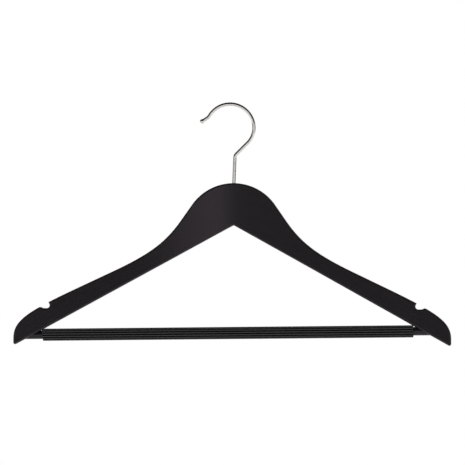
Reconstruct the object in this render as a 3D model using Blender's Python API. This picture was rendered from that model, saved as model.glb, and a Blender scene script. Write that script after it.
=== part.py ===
# Contoured wooden shirt hanger with a swivelling wire hook and a ribbed trouser bar.
#
# Metres, +Z up. The front of the hanger faces -Y, and +X is to the right seen from the front.
# The origin is the point inside the top of the hook that rests on the clothes rail.
#
# The two wooden arms meet in a glued comb joint in the middle. A dowel joins their ends, and a
# ribbed sleeve on the dowel keeps trousers from slipping. The hook is one bent wire. Its shank
# runs down through the comb joint, and a washer and a nut in the underside hold it, so that the
# hook swivels. A brad through the back of each arm pins the dowel.

import math

import bmesh
import bpy
from mathutils import Matrix, Vector
from mathutils.geometry import interpolate_bezier

MM = 0.001
DEGREE = math.pi / 180

# Clearances and cutters
PIECE_GAP = 0.3 * MM  # between faces that touch on the real object
CUT_OVERRUN = 12 * MM  # how far a cutter reaches past the wood that it cuts
SMALL_STEP = 0.8 * MM  # outline points nearer than this to a corner are left out
ROUND_SIDES = 48  # sides of the bores and of the dowel
SHARP_ANGLE = 30 * DEGREE  # faces that meet at less than this are shaded smooth
ROUND_PROFILE_SHARE = 0.5  # shape of a bevel that is part of a circle

# Wooden body seen from the front, measured from its middle line and down from the hump's top
HALF_WIDTH = 222.7 * MM
HUMP_HEIGHT = 43 * MM  # from the top of the hump down to the peak of the underside
CROWN_RADIUS = 51.5 * MM
FLANK_ANGLE = 55 * DEGREE  # steepest slope, on the sides of the hump
UNDERSIDE_ANGLE = 28.9 * DEGREE
ARM_FLARE = 3.5 * DEGREE  # how much less the arm's upper edge slopes than its underside
ARM_ROOT_DEPTH = 10.8 * MM  # upright depth of the two arm lines on the middle line
WAIST_LEG_UP = 35 * MM  # reach of the hollow between hump and arm, up the flank
WAIST_LEG_OUT = 54 * MM  # and out along the arm
WAIST_FULLNESS_SHARE = 0.77
SHOULDER_LEG_IN = 70 * MM  # reach of the rounded arm end, back along the arm
SHOULDER_LEG_DOWN = 21 * MM  # and down the end
SHOULDER_FULLNESS_SHARE = 0.83
TIP_RADIUS = 2.6 * MM  # lower corner of the arm end
CROWN_STEPS = 16
WAIST_STEPS = 18
SHOULDER_STEPS = 28
CORNER_STEPS = 8

# Strap notch in the upper edge of each arm
NOTCH_FROM_TIP = 35.3 * MM  # from the end of the arm in to the notch's sharp lip
NOTCH_WIDTH = 10.4 * MM
NOTCH_DEPTH = 6.2 * MM
NOTCH_UNDERCUT = 3.0 * MM
NOTCH_FLOOR = 8.4 * MM  # length of the floor, from the undercut corner to the ramp
NOTCH_RAMP_ANGLE = 27 * DEGREE
NOTCH_INNER_RADIUS = 3 * MM
NOTCH_FLOOR_RADIUS = 4 * MM
NOTCH_LIP_RADIUS = 3 * MM

# Wooden body seen from above
BODY_THICKNESS = 14 * MM
EDGE_ROUNDING = 1.8 * MM
ROUNDING_STEPS = 4
LIP_RUN = EDGE_ROUNDING + PIECE_GAP  # straight stretch on each side of a sharp lip, for its rounding
BOW_HALF_LENGTH = 80 * MM  # the bend takes this much on each side of the middle
ARM_SWEEP = 8 * DEGREE  # how far forward the straight arms point
BOW_STEPS = 16

# Comb joint in the middle of the body
COMB_FINGERS = 4
COMB_LENGTH = 14 * MM

# Hook, measured from where its shank leaves the top of the hump
WIRE_RADIUS = 1.8 * MM
HOOK_RADIUS = 24.5 * MM  # to the middle of the wire
HOOK_CENTRE_ACROSS = -4.6 * MM
HOOK_CENTRE_HEIGHT = 56.2 * MM
LEAD_ANGLE = 45 * DEGREE  # slope of the straight run from the shank to the round
LEAD_BEND_RADIUS = 6.5 * MM
HOOK_END_ANGLE = 149 * DEGREE  # where the round stops, counted from +X
FLARE_TURN = 23 * DEGREE  # how much the end of the hook bends back outwards
FLARE_BEND_RADIUS = 8 * MM
FLARE_LENGTH = 5.2 * MM  # from the bend back to the centre of the ball
BALL_RADIUS = 2.4 * MM
BALL_END_SHARE = 0.2  # radius of the flat on the ball's end, as a share of the wire's
SHANK_END_SHARE = 0.75  # radius of the shank's chamfered end, as a share of the wire's
SHANK_CHAMFER = 0.5 * MM
HOOK_STEPS = 54
BEND_STEPS = 8
BALL_STEPS = 10
WIRE_BEVEL_RESOLUTION = 6

# Washer and nut that hold the shank from below
COUNTERBORE_RADIUS = 4.8 * MM
COUNTERBORE_DEPTH = 13 * MM  # up from the peak of the underside
WASHER_RADIUS = 4.2 * MM
WASHER_THICKNESS = 1 * MM
NUT_ACROSS_FLATS = 7 * MM
NUT_SIDES = 6
NUT_HEIGHT = 3.2 * MM
NUT_CHAMFER = 0.4 * MM
NUT_FACE_RADIUS = 3.6 * MM
SHANK_PAST_NUT = 1.2 * MM

# Trouser bar and its sleeve
BAR_RADIUS = 4.15 * MM
BAR_ABOVE_TIP = 13.2 * MM  # from the corner of the arm ends up to the bar's axis
BAR_SLANT = 0.75 * DEGREE  # the bar is set a little askew, with its right end higher
BAR_SEAT_DEPTH = 12.5 * MM  # how far the dowel's axis runs into each arm
BAR_CHAMFER = 0.6 * MM
SLEEVE_RADIUS = 6.1 * MM  # over the tops of the ribs
RIB_HEIGHT = 0.7 * MM
RIB_COUNT = 15
STEPS_PER_RIB = 8

# Brads that pin the dowel from the back of each arm
BRAD_RADIUS = 0.6 * MM
BRAD_LENGTH = 8 * MM
BRAD_HEAD_RADIUS = 1.1 * MM
BRAD_HEAD_THICKNESS = 0.6 * MM
BRAD_RECESS = 0.3 * MM
BRAD_FROM_BAR_END = 3.6 * MM
BRAD_SIDES = 16

LEFT = -1
RIGHT = 1

# The swivel axis in world space, at the top of the hump. The rail seat is the origin.
SWIVEL_POINT = Vector((-HOOK_CENTRE_ACROSS, 0, WIRE_RADIUS - HOOK_RADIUS - HOOK_CENTRE_HEIGHT))


# Plane geometry, on points (across, drop) or (across, height)

def along(angle, distance):
    """Step of the given length in the direction of a slope angle."""
    return Vector((math.cos(angle), math.sin(angle))) * distance


def meeting_point(first, first_angle, second, second_angle):
    """Point where two lines cross, each given by a point on it and its slope angle."""
    first_slope = math.tan(first_angle)
    second_slope = math.tan(second_angle)
    first_start = first.y - first_slope * first.x
    second_start = second.y - second_slope * second.x
    across = (second_start - first_start) / (first_slope - second_slope)
    return Vector((across, first_start + first_slope * across))


def blend(start, corner, end, fullness, steps):
    """Curve from start to end that is tangent at both to the lines meeting at corner."""
    first_handle = start.lerp(corner, fullness)
    last_handle = end.lerp(corner, fullness)
    return interpolate_bezier(start, first_handle, last_handle, end, steps + 1)


def arc(centre, radius, start_angle, end_angle, steps):
    """Points on a circle from one angle to another."""
    points = []
    for index in range(steps + 1):
        angle = start_angle + (end_angle - start_angle) * index / steps
        points.append(centre + along(angle, radius))
    return points


def fillet(before, corner, after, radius, steps, straight=SMALL_STEP):
    """Arc that rounds a corner between two lines, and leaves this much of the first one straight."""
    back = (before - corner).normalized()
    onward = (after - corner).normalized()
    half_angle = back.angle(onward) / 2
    reach = min(radius / math.tan(half_angle), (before - corner).length - straight)
    radius = reach * math.tan(half_angle)
    middle = (back + onward).normalized()
    centre = corner + middle * (radius / math.sin(half_angle))
    first = corner + back * reach - centre
    last = corner + onward * reach - centre
    turn = first.angle_signed(last)
    start_angle = math.atan2(first.y, first.x)
    return arc(centre, radius, start_angle, start_angle - turn, steps)


# Outline of the wooden body

def tip_corner():
    """Lower corner of the arm end, before it is rounded."""
    return Vector((HALF_WIDTH, HUMP_HEIGHT + HALF_WIDTH * math.tan(UNDERSIDE_ANGLE)))


def hump_and_waist(shoulder_start):
    """Upper edge from the top of the hump, down its flank and into the arm."""
    arm_angle = UNDERSIDE_ANGLE - ARM_FLARE
    crown = []
    for index in range(CROWN_STEPS + 1):
        slope = FLANK_ANGLE * index / CROWN_STEPS
        crown.append(Vector((CROWN_RADIUS * math.sin(slope), CROWN_RADIUS * (1 - math.cos(slope)))))
    corner = meeting_point(crown[-1], FLANK_ANGLE, shoulder_start, arm_angle)
    leg_up = min(WAIST_LEG_UP, (corner - crown[-1]).length - SMALL_STEP)
    leg_out = min(WAIST_LEG_OUT, (shoulder_start - corner).length - SMALL_STEP)
    start = corner - along(FLANK_ANGLE, leg_up)
    end = corner + along(arm_angle, leg_out)
    return crown + blend(start, corner, end, WAIST_FULLNESS_SHARE, WAIST_STEPS)


def shoulder_curve():
    """Rounded outer end of the upper edge, before the notch is cut in it."""
    arm_angle = UNDERSIDE_ANGLE - ARM_FLARE
    arm_line_drop = HUMP_HEIGHT - ARM_ROOT_DEPTH
    corner = Vector((HALF_WIDTH, arm_line_drop + HALF_WIDTH * math.tan(arm_angle)))
    start = corner - along(arm_angle, SHOULDER_LEG_IN)
    tip_run = TIP_RADIUS / math.tan((math.pi / 2 - UNDERSIDE_ANGLE) / 2)
    room = tip_corner().y - corner.y - tip_run - SMALL_STEP
    end = corner + Vector((0, min(SHOULDER_LEG_DOWN, room)))
    return blend(start, corner, end, SHOULDER_FULLNESS_SHARE, SHOULDER_STEPS)


def point_on(curve, across):
    """Point of a curve at a distance from the middle line, and the curve's slope there."""
    for start, end in zip(curve, curve[1:]):
        if start.x <= across <= end.x:
            share = (across - start.x) / (end.x - start.x)
            step = end - start
            return start.lerp(end, share), math.atan2(step.y, step.x)
    return curve[-1].copy(), math.pi / 2


def notch(curve):
    """Strap notch: a sharp undercut lip, a round inner corner, a floor and a ramp out."""
    lip = point_on(curve, HALF_WIDTH - NOTCH_FROM_TIP)[0]
    outer, outer_slope = point_on(curve, lip.x + NOTCH_WIDTH)
    inner_corner = lip + Vector((-NOTCH_UNDERCUT, NOTCH_DEPTH))
    ramp_corner = inner_corner + Vector((NOTCH_FLOOR, 0))
    ramp_top = meeting_point(ramp_corner, -NOTCH_RAMP_ANGLE, outer, outer_slope)
    points = [lip]
    points += fillet(lip, inner_corner, ramp_corner, NOTCH_INNER_RADIUS, CORNER_STEPS, LIP_RUN)
    points += fillet(inner_corner, ramp_corner, ramp_top, NOTCH_FLOOR_RADIUS, CORNER_STEPS // 2)
    points += fillet(ramp_corner, ramp_top, outer, NOTCH_LIP_RADIUS, CORNER_STEPS)
    points.append(outer)
    return points


def half_outline():
    """Outline from the top of the hump round the arm end to the peak of the underside."""
    curve = shoulder_curve()
    cut = notch(curve)
    points = hump_and_waist(curve[0])
    points += [point for point in curve if point.x < cut[0].x - LIP_RUN]
    points += cut
    points += [point for point in curve if point.x > cut[-1].x + SMALL_STEP]
    peak = Vector((0, HUMP_HEIGHT))
    points += fillet(curve[-1], tip_corner(), peak, TIP_RADIUS, CORNER_STEPS)
    points.append(peak)
    return points


def tidy_points(points):
    """The same outline without points that repeat their neighbour."""
    kept = [points[0]]
    for point in points[1:]:
        if (point - kept[-1]).length > PIECE_GAP / 2:
            kept.append(point)
    return kept


def bow(across):
    """Where the middle plane of the body lies: an arc in the middle, straight arms beyond it."""
    radius = BOW_HALF_LENGTH / math.sin(ARM_SWEEP)
    reach = min(abs(across), BOW_HALF_LENGTH)
    straight = abs(across) - reach
    return math.sqrt(radius ** 2 - reach ** 2) - radius - straight * math.tan(ARM_SWEEP)


# The bar's line through both arms, in the body's frame

def bar_drop():
    """Drop of the bar's axis on the middle line."""
    return tip_corner().y - BAR_ABOVE_TIP


def underside_crossing(side, raised):
    """Distance from the middle line at which a line above the bar's axis meets the underside."""
    rise = math.tan(UNDERSIDE_ANGLE) + side * math.tan(BAR_SLANT)
    return (bar_drop() - raised / math.cos(BAR_SLANT) - HUMP_HEIGHT) / rise


def bar_end(side):
    """Place of the dowel's end along the bar's axis, counted from the middle."""
    return side * (underside_crossing(side, 0) / math.cos(BAR_SLANT) + BAR_SEAT_DEPTH)


def sleeve_end(side):
    """Place of the sleeve's end along the axis: its top edge just clears the slanted arm."""
    reach = underside_crossing(side, SLEEVE_RADIUS) - PIECE_GAP / math.sin(UNDERSIDE_ANGLE)
    return (side * reach + SLEEVE_RADIUS * math.sin(BAR_SLANT)) / math.cos(BAR_SLANT)


def bar_middle():
    """Point of the bar's axis on the middle line, centred in the wood that it enters."""
    seat = (underside_crossing(LEFT, 0) + underside_crossing(RIGHT, 0) + BAR_SEAT_DEPTH) / 2
    return Vector((0, bow(seat), -bar_drop()))


def bar_direction():
    """Direction of the bar's axis, towards its right end."""
    return Vector((math.cos(BAR_SLANT), 0, math.sin(BAR_SLANT)))


# Meshes

def add_ring(mesh, radius_at, height, sides):
    """Ring of vertices about Z, whose radius may depend on the angle."""
    ring = []
    for index in range(sides):
        angle = math.tau * index / sides
        radius = radius_at(angle)
        ring.append(mesh.verts.new((radius * math.cos(angle), radius * math.sin(angle), height)))
    return ring


def stacked_rings(rings, sides, hollow):
    """Mesh of the given rings (radius function, height), skinned in order.

    A solid piece is capped at both ends. A hollow one goes up the outside and down the bore.
    """
    mesh = bmesh.new()
    loops = [add_ring(mesh, radius_at, height, sides) for radius_at, height in rings]
    pairs = list(zip(loops, loops[1:]))
    if hollow:
        pairs.append((loops[-1], loops[0]))
    else:
        mesh.faces.new(loops[0][::-1])
        mesh.faces.new(loops[-1])
    for lower, upper in pairs:
        for index in range(sides):
            following = (index + 1) % sides
            mesh.faces.new((lower[index], lower[following], upper[following], upper[index]))
    return mesh


def plain(radius):
    """Radius function of a round ring."""
    return lambda angle: radius


def turned(profile, sides, hollow=False):
    """Mesh turned about Z from (radius, height) pairs, listed from bottom to top.

    No corner of it lies on X or Y, where the wood that it cuts has edges.
    """
    mesh = stacked_rings([(plain(radius), height) for radius, height in profile], sides, hollow)
    mesh.transform(Matrix.Rotation(math.pi / sides, 4, "Z"))
    return mesh


def prism(points, low, high):
    """Upright prism on an outline of (x, y) points."""
    mesh = bmesh.new()
    floor = mesh.faces.new([mesh.verts.new((x, y, low)) for x, y in points])
    sweep = bmesh.ops.extrude_face_region(mesh, geom=[floor])
    top = [item for item in sweep["geom"] if isinstance(item, bmesh.types.BMVert)]
    bmesh.ops.translate(mesh, verts=top, vec=(0, 0, high - low))
    bmesh.ops.recalc_face_normals(mesh, faces=mesh.faces)
    return mesh


def body_blank():
    """The whole wooden body before it is halved: outline, rounded edges and bow."""
    half = tidy_points(half_outline())
    outline = half + [Vector((-point.x, point.y)) for point in half[-2:0:-1]]
    mesh = bmesh.new()
    front = [mesh.verts.new((point.x, -BODY_THICKNESS / 2, -point.y)) for point in outline]
    sweep = bmesh.ops.extrude_face_region(mesh, geom=[mesh.faces.new(front)])
    back = [item for item in sweep["geom"] if isinstance(item, bmesh.types.BMVert)]
    bmesh.ops.translate(mesh, verts=back, vec=(0, BODY_THICKNESS, 0))
    bmesh.ops.recalc_face_normals(mesh, faces=mesh.faces)
    rims = [edge for edge in mesh.edges if edge.verts[0].co.y == edge.verts[1].co.y]
    bmesh.ops.bevel(mesh, geom=rims, offset=EDGE_ROUNDING, segments=ROUNDING_STEPS,
                    profile=ROUND_PROFILE_SHARE, affect="EDGES", clamp_overlap=False)
    for index in range(BOW_STEPS + 1):
        station = BOW_HALF_LENGTH * (2 * index / BOW_STEPS - 1)
        everything = mesh.verts[:] + mesh.edges[:] + mesh.faces[:]
        bmesh.ops.bisect_plane(mesh, geom=everything, dist=PIECE_GAP / 2,
                               plane_co=(station, 0, 0), plane_no=(1, 0, 0))
    for vertex in mesh.verts:
        vertex.co.y += bow(vertex.co.x)
    bmesh.ops.triangulate(mesh, faces=mesh.faces)
    return mesh


def comb_outline(side):
    """Plan of one arm's half of the body: a half plane with fingers that fill every other band."""
    far = HALF_WIDTH + CUT_OVERRUN
    depth = BODY_THICKNESS / 2 + CUT_OVERRUN
    tip = -side * (COMB_LENGTH - PIECE_GAP) / 2
    pocket = side * (COMB_LENGTH + PIECE_GAP) / 2
    owned = 0 if side == LEFT else 1
    sweep_room = abs(bow(HALF_WIDTH)) + depth
    points = [(side * far, -sweep_room)]
    for finger in range(COMB_FINGERS):
        own = finger % 2 == owned
        inset = PIECE_GAP / 2 if own else -PIECE_GAP / 2
        low = BODY_THICKNESS * (finger / COMB_FINGERS - 1 / 2) + inset
        high = BODY_THICKNESS * ((finger + 1) / COMB_FINGERS - 1 / 2) - inset
        if finger == 0:
            low = -sweep_room
        if finger == COMB_FINGERS - 1:
            high = depth
        face = tip if own else pocket
        points += [(face, low), (face, high)]
    points.append((side * far, depth))
    return points


def swivel_cutter():
    """Shank bore from above the hump, and the wider counterbore from below it."""
    bore = WIRE_RADIUS + PIECE_GAP
    ceiling = COUNTERBORE_DEPTH - HUMP_HEIGHT
    low = -HUMP_HEIGHT - CUT_OVERRUN
    profile = [(COUNTERBORE_RADIUS, low), (COUNTERBORE_RADIUS, ceiling),
               (bore, ceiling), (bore, CUT_OVERRUN)]
    return turned(profile, ROUND_SIDES)


def brad_profile(gap):
    """Profile of a brad with its head at the top, grown by a gap on all sides but the top."""
    neck = -BRAD_HEAD_THICKNESS - gap
    return [(BRAD_RADIUS + gap, -BRAD_LENGTH - gap), (BRAD_RADIUS + gap, neck),
            (BRAD_HEAD_RADIUS + gap, neck)]


def brad_mesh():
    """Headed brad along Z, with the top of its head at the origin."""
    return turned(brad_profile(0) + [(BRAD_HEAD_RADIUS, 0)], BRAD_SIDES)


def brad_cutter():
    """Hole for a brad, open above its head."""
    return turned(brad_profile(PIECE_GAP) + [(BRAD_HEAD_RADIUS + PIECE_GAP, CUT_OVERRUN)], BRAD_SIDES)


def dowel_mesh():
    """Trouser bar along Z, with chamfered ends."""
    low = bar_end(LEFT)
    high = bar_end(RIGHT)
    narrow = BAR_RADIUS - BAR_CHAMFER
    profile = [(narrow, low), (BAR_RADIUS, low + BAR_CHAMFER),
               (BAR_RADIUS, high - BAR_CHAMFER), (narrow, high)]
    return turned(profile, ROUND_SIDES)


def seat_cutter(side):
    """Blind hole for the dowel's end, with the overrun on its open side."""
    radius = BAR_RADIUS + PIECE_GAP
    slanted_mouth = radius / math.tan(UNDERSIDE_ANGLE)
    floor = bar_end(side) + side * PIECE_GAP
    mouth = floor - side * (BAR_SEAT_DEPTH + slanted_mouth + CUT_OVERRUN)
    return turned([(radius, min(floor, mouth)), (radius, max(floor, mouth))], ROUND_SIDES)


def sleeve_mesh():
    """Ribbed sleeve along Z: round ribs with narrow grooves between, over a plain bore."""
    bore = BAR_RADIUS + PIECE_GAP

    def ribbed(angle):
        return SLEEVE_RADIUS - RIB_HEIGHT * (1 - abs(math.cos(RIB_COUNT * angle / 2)))

    rings = [(ribbed, sleeve_end(LEFT)), (ribbed, sleeve_end(RIGHT)),
             (plain(bore), sleeve_end(RIGHT)), (plain(bore), sleeve_end(LEFT))]
    return stacked_rings(rings, RIB_COUNT * STEPS_PER_RIB, True)


def washer_top():
    """Height of the washer's upper face below the hump's top."""
    return COUNTERBORE_DEPTH - HUMP_HEIGHT - PIECE_GAP


def nut_top():
    """Height of the nut's upper face below the hump's top."""
    return washer_top() - WASHER_THICKNESS - PIECE_GAP


def washer_mesh():
    """Flat washer, with its upper face at the origin."""
    bore = WIRE_RADIUS + PIECE_GAP
    profile = [(WASHER_RADIUS, -WASHER_THICKNESS), (WASHER_RADIUS, 0),
               (bore, 0), (bore, -WASHER_THICKNESS)]
    return turned(profile, ROUND_SIDES, True)


def nut_mesh():
    """Hexagon nut with chamfered corners, and its upper face at the origin."""
    flat = NUT_ACROSS_FLATS / 2
    sector = math.tau / NUT_SIDES

    def hexagon(angle):
        return flat / math.cos((angle % sector) - sector / 2)

    def chamfered(angle):
        return min(hexagon(angle), NUT_FACE_RADIUS)

    bore = plain(WIRE_RADIUS + PIECE_GAP)
    rings = [(chamfered, -NUT_HEIGHT), (hexagon, NUT_CHAMFER - NUT_HEIGHT), (hexagon, -NUT_CHAMFER),
             (chamfered, 0), (bore, 0), (bore, -NUT_HEIGHT)]
    return stacked_rings(rings, ROUND_SIDES, True)


# The hook's wire

def hook_path():
    """Middle of the wire from the bottom of the shank to the ball, as (across, height) points."""
    centre = Vector((HOOK_CENTRE_ACROSS, HOOK_CENTRE_HEIGHT))
    round_start = centre + along(LEAD_ANGLE - math.pi / 2, HOOK_RADIUS)
    shank_corner = round_start - along(LEAD_ANGLE, round_start.x / math.cos(LEAD_ANGLE))
    shank_end = Vector((0, nut_top() - NUT_HEIGHT - SHANK_PAST_NUT))
    points = [shank_end, shank_end + Vector((0, SHANK_CHAMFER))]
    points += fillet(shank_end, shank_corner, round_start, LEAD_BEND_RADIUS, BEND_STEPS)
    points += arc(centre, HOOK_RADIUS, LEAD_ANGLE - math.pi / 2, HOOK_END_ANGLE, HOOK_STEPS)
    heading = HOOK_END_ANGLE + math.pi / 2
    outside = points[-1] + along(HOOK_END_ANGLE, FLARE_BEND_RADIUS)
    points += arc(outside, FLARE_BEND_RADIUS, HOOK_END_ANGLE + math.pi,
                  HOOK_END_ANGLE + math.pi - FLARE_TURN, BEND_STEPS)[1:]
    ball = points[-1] + along(heading - FLARE_TURN, FLARE_LENGTH)
    return points, ball, heading - FLARE_TURN


def hook_stations():
    """Points along the wire with the radius of each as a share of the wire's own."""
    points, ball, heading = hook_path()
    stations = [(point, 1) for point in points]
    stations[0] = (points[0], SHANK_END_SHARE)
    neck_angle = math.asin(WIRE_RADIUS / BALL_RADIUS)
    end_angle = math.pi - math.asin(BALL_END_SHARE * WIRE_RADIUS / BALL_RADIUS)
    for index in range(BALL_STEPS + 1):
        angle = neck_angle + (end_angle - neck_angle) * index / BALL_STEPS
        share = BALL_RADIUS * math.sin(angle) / WIRE_RADIUS
        stations.append((ball - along(heading, BALL_RADIUS * math.cos(angle)), share))
    return stations


def hook_curve():
    """Curve along the wire, with a round bevel and filled ends."""
    curve = bpy.data.curves.new("hook", "CURVE")
    curve.dimensions = "3D"
    curve.bevel_depth = WIRE_RADIUS
    curve.bevel_resolution = WIRE_BEVEL_RESOLUTION
    curve.use_fill_caps = True
    stations = hook_stations()
    spline = curve.splines.new("POLY")
    spline.points.add(len(stations) - 1)
    for point, (place, share) in zip(spline.points, stations):
        point.co = (place.x, 0, place.y, 1)
        point.radius = share
    spline.use_smooth = True
    return curve


# Objects and materials

def make_material(name, colour, roughness, metallic):
    """Principled material of one colour."""
    material = bpy.data.materials.new(name)
    material.use_nodes = True
    shader = material.node_tree.nodes["Principled BSDF"]
    shader.inputs["Base Color"].default_value = (*colour, 1)
    shader.inputs["Roughness"].default_value = roughness
    shader.inputs["Metallic"].default_value = metallic
    return material


def add_object(name, data, parent, location, rotation=(0, 0, 0)):
    """Object placed under a parent empty."""
    item = bpy.data.objects.new(name, data)
    bpy.context.scene.collection.objects.link(item)
    item.parent = parent
    item.location = location
    item.rotation_euler = rotation
    return item


def add_piece(name, mesh, material, parent, location, rotation=(0, 0, 0)):
    """Visible piece from a bmesh, smooth where its faces meet at a shallow angle."""
    data = bpy.data.meshes.new(name)
    mesh.to_mesh(data)
    mesh.free()
    data.materials.append(material)
    data.shade_smooth()
    data.set_sharp_from_angle(angle=SHARP_ANGLE)
    return add_object(name, data, parent, location, rotation)


def add_cutter(name, mesh, parent, location, rotation=(0, 0, 0)):
    """Guide solid that only cuts other pieces."""
    data = bpy.data.meshes.new(name)
    mesh.to_mesh(data)
    mesh.free()
    cutter = add_object(name, data, parent, location, rotation)
    cutter.hide_render = True
    cutter.display_type = "WIRE"
    return cutter


def add_boolean(piece, cutter, operation):
    """Exact Boolean of a piece with a cutter."""
    modifier = piece.modifiers.new(cutter.name, "BOOLEAN")
    modifier.operation = operation
    modifier.solver = "EXACT"
    modifier.object = cutter


def build_body(swivel, lacquer):
    """Both wooden arms, cut from the same bowed blank."""
    bores = add_cutter("swivel_cutter", swivel_cutter(), swivel, (0, 0, 0))
    tilt = (0, math.pi / 2 - BAR_SLANT, 0)
    arms = {}
    for side, name in ((LEFT, "left_arm"), (RIGHT, "right_arm")):
        arm = add_piece(name, body_blank(), lacquer, swivel, (0, 0, 0))
        low = -tip_corner().y - CUT_OVERRUN
        half = add_cutter(name + "_half", prism(comb_outline(side), low, CUT_OVERRUN), swivel, (0, 0, 0))
        seat = add_cutter(name + "_seat", seat_cutter(side), swivel, bar_middle(), tilt)
        add_boolean(arm, bores, "DIFFERENCE")
        add_boolean(arm, seat, "DIFFERENCE")
        add_boolean(arm, half, "INTERSECT")
        arms[side] = arm
    return arms


def build_bar(swivel, lacquer, vinyl):
    """Dowel and its ribbed sleeve, both on the bar's slanted axis."""
    tilt = (0, math.pi / 2 - BAR_SLANT, 0)
    dowel = add_piece("trouser_bar", dowel_mesh(), lacquer, swivel, bar_middle(), tilt)
    add_piece("bar_sleeve", sleeve_mesh(), vinyl, swivel, bar_middle(), tilt)
    return dowel


def build_brads(swivel, steel, arms, dowel):
    """A brad through the back of each arm into the dowel, square to the arm's back face."""
    for side, name in ((LEFT, "left_brad"), (RIGHT, "right_brad")):
        outward = Vector((side * math.sin(ARM_SWEEP), math.cos(ARM_SWEEP), 0))
        on_axis = bar_middle() + bar_direction() * (bar_end(side) - side * BRAD_FROM_BAR_END)
        cover = (bow(on_axis.x) + BODY_THICKNESS / 2 - on_axis.y) * math.cos(ARM_SWEEP)
        place = on_axis + outward * (cover - BRAD_RECESS)
        turn = (-math.pi / 2, 0, -side * ARM_SWEEP)
        add_piece(name, brad_mesh(), steel, swivel, place, turn)
        hole = add_cutter(name + "_hole", brad_cutter(), swivel, place, turn)
        add_boolean(arms[side], hole, "DIFFERENCE")
        add_boolean(dowel, hole, "DIFFERENCE")


def build_hook(chrome, steel):
    """Wire hook on the swivel axis, with the washer and nut that hold it."""
    anchor = add_object("hook_anchor", None, None, SWIVEL_POINT)
    hook = add_object("hook", hook_curve(), anchor, (0, 0, 0))
    hook.data.materials.append(chrome)
    add_piece("hook_washer", washer_mesh(), steel, anchor, (0, 0, washer_top()))
    add_piece("hook_nut", nut_mesh(), steel, anchor, (0, 0, nut_top()))


def clear_scene():
    """Removes the objects that the scene starts with."""
    for item in list(bpy.data.objects):
        bpy.data.objects.remove(item, do_unlink=True)


def main():
    clear_scene()
    lacquer = make_material("black_lacquered_wood", (0.013, 0.012, 0.013), 0.32, 0)
    chrome = make_material("chrome_wire", (0.72, 0.71, 0.7), 0.12, 1)
    vinyl = make_material("ribbed_vinyl", (0.016, 0.017, 0.016), 0.5, 0)
    steel = make_material("zinc_steel", (0.45, 0.45, 0.44), 0.35, 1)
    swivel = add_object("swivel_axis", None, None, SWIVEL_POINT)
    arms = build_body(swivel, lacquer)
    dowel = build_bar(swivel, lacquer, vinyl)
    build_brads(swivel, steel, arms, dowel)
    build_hook(chrome, steel)


main()
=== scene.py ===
# %% [markdown]
# # A contoured wooden shirt hanger
#
# This lesson dresses a black lacquered shirt hanger: two wooden arms that bow forward, a wire
# hook that swivels, and a dowel with a ribbed sleeve that keeps trousers from slipping. The
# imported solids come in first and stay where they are. Each step then makes a finer piece in the
# same place and says which solid it stands for. Every length is in metres, with the point where
# the hook rests on the rail at the origin, and the front of the hanger faces -Y.

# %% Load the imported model
import math

import bmesh
import bpy
from mathutils import Matrix, Vector
from mathutils.geometry import interpolate_bezier


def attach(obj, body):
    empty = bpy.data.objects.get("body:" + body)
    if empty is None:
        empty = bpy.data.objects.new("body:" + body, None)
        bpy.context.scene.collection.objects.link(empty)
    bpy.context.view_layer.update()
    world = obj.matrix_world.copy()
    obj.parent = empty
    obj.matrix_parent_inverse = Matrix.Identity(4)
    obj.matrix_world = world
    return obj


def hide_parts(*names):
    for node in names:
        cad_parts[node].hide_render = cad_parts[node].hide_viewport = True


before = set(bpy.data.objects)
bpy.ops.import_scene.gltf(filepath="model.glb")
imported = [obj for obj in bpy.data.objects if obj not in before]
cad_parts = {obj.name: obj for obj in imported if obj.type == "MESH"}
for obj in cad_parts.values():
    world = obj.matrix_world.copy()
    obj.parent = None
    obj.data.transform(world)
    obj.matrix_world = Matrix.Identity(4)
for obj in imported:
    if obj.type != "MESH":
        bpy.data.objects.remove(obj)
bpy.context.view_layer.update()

MM = 0.001
DEGREE = math.pi / 180
LEFT, RIGHT = -1, 1
print("solids:", sorted(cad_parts))

# %% [markdown]
# ## The camera
#
# A shop photographs a hanger from far away, so that its arms aren't drawn in perspective. A long
# lens at six metres does the same. The forward arm ends stand a little left of the hump in the
# picture, so the camera stands a few degrees to the right, and a small roll copies the way this
# hanger hangs askew. A camera with no perspective at all would also do, but a long lens keeps
# working when the view is moved round the object.

# %% Camera in the photograph's place
IMAGE_PIXELS = 465
PIXEL = 1.0177 * MM  # size of one pixel at the hanger
VIEW_CENTRE = Vector((4.3, -18, -129.3)) * MM
CAMERA_DISTANCE = 6
CAMERA_AZIMUTH = 3.2 * DEGREE
CAMERA_ELEVATION = 0 * DEGREE
CAMERA_ROLL = 0.165 * DEGREE
SENSOR_WIDTH = 36


def direction_at(azimuth, elevation):
    """Unit vector from the hanger, with azimuth 0 straight out of its front."""
    return Vector((math.sin(azimuth) * math.cos(elevation), -math.cos(azimuth) * math.cos(elevation),
                   math.sin(elevation)))


def add_object(name, data):
    """Object in the scene that holds this camera, lamp or mesh."""
    made = bpy.data.objects.new(name, data)
    bpy.context.scene.collection.objects.link(made)
    return made


camera_data = bpy.data.cameras.new("camera")
camera_data.sensor_width = SENSOR_WIDTH
camera_data.lens = SENSOR_WIDTH * CAMERA_DISTANCE / (IMAGE_PIXELS * PIXEL)
camera_data.clip_end = 100
camera = add_object("camera", camera_data)
towards_camera = direction_at(CAMERA_AZIMUTH, CAMERA_ELEVATION)
camera.location = VIEW_CENTRE + towards_camera * CAMERA_DISTANCE
level = towards_camera.to_track_quat("Z", "Y").to_matrix().to_4x4()
camera.rotation_euler = (level @ Matrix.Rotation(CAMERA_ROLL, 4, "Z")).to_euler()
bpy.context.scene.camera = camera
bpy.context.scene.view_settings.view_transform = "Standard"
print(f"lens {camera_data.lens:.0f} mm")

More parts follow.
